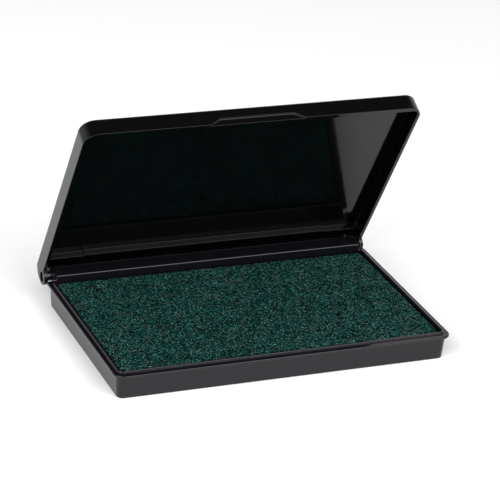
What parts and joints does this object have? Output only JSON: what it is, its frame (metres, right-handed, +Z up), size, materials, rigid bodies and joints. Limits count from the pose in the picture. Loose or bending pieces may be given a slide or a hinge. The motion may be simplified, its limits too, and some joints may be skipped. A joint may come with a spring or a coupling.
{
  "type": "ink pad",
  "caption": "Large hinged ink pad for rubber stamps: shallow moulded case with a cloth-faced felt pad under a skirted flip-up lid.",
  "frame": {"origin": "centre of the case's underside, on the surface that it stands on", "axes": "+X along the long side, +Y towards the hinge, +Z up"},
  "size_m": [0.1698, 0.1138, 0.1108],
  "materials": {
    "case_plastic": "moulded black styrene, semi-gloss",
    "lid_plastic": "moulded black styrene, polished",
    "inked_cloth": "fine woven cotton soaked in dark green ink",
    "inked_felt": "dense felt soaked in dark green ink"
  },
  "bodies": {
    "case": {"base_case": "case_plastic", "felt_block": "inked_felt", "pad_cloth": "inked_cloth"},
    "lid": {"lid": "lid_plastic"}
  },
  "joints": [
    {"name": "lid_hinge", "type": "hinge", "parent": "case", "child": "lid", "pos_m": [0, 0.0557, 0.0125], "axis": [1, 0, 0], "range_deg": [-118.3, 61.7]}
  ]
}
